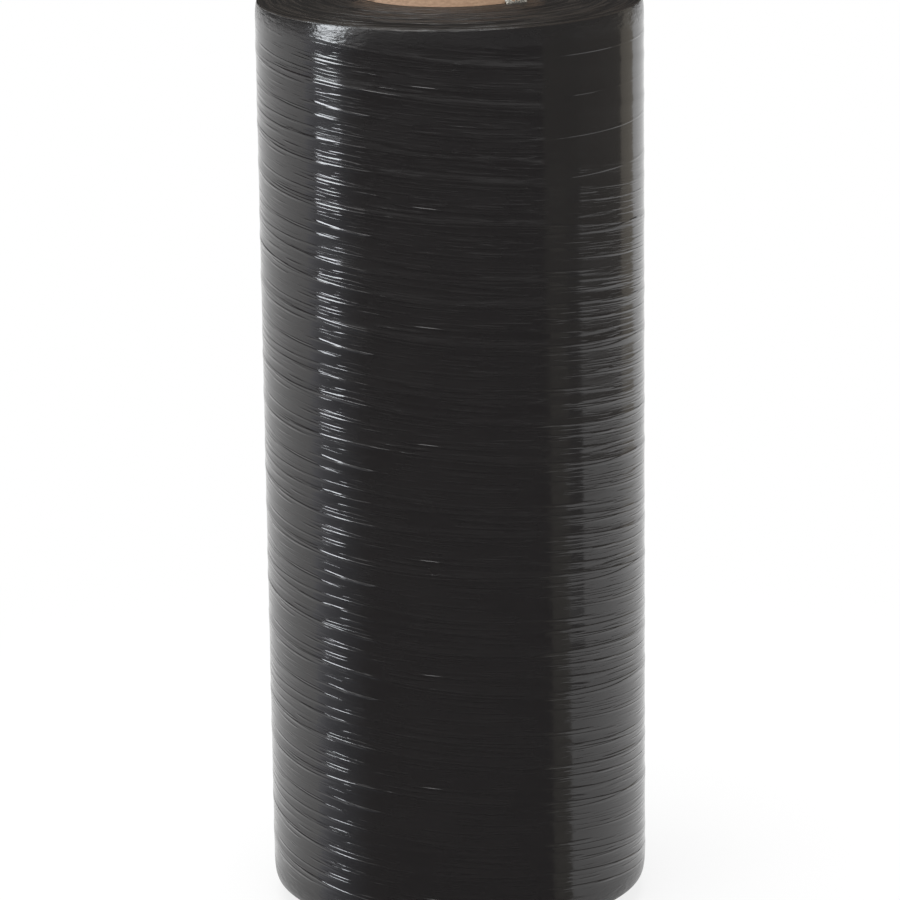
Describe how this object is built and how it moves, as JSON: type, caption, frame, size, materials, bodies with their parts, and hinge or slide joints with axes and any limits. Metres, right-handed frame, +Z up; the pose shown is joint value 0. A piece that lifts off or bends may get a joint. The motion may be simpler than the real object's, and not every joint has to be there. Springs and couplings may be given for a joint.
{
  "type": "stretch wrap roll",
  "caption": "Full roll of glossy black stretch film wound on a spiral-wound cardboard core that stands out at both ends; it stands on the core's end.",
  "frame": {"origin": "centre of the core's lower end, which is the face that the roll stands on", "axes": "+Z up along the core, about which the roll is round; X and Y are alike"},
  "size_m": [0.1907, 0.1908, 0.4732],
  "materials": {
    "kraft_board": "uncoated kraft paperboard, spiral wound, matt",
    "black_film": "glossy black polyethylene stretch film, wound tight, with fine ridges round the roll"
  },
  "bodies": {
    "root": {"core_tube": "kraft_board", "film_winding": "black_film"}
  },
  "joints": []
}
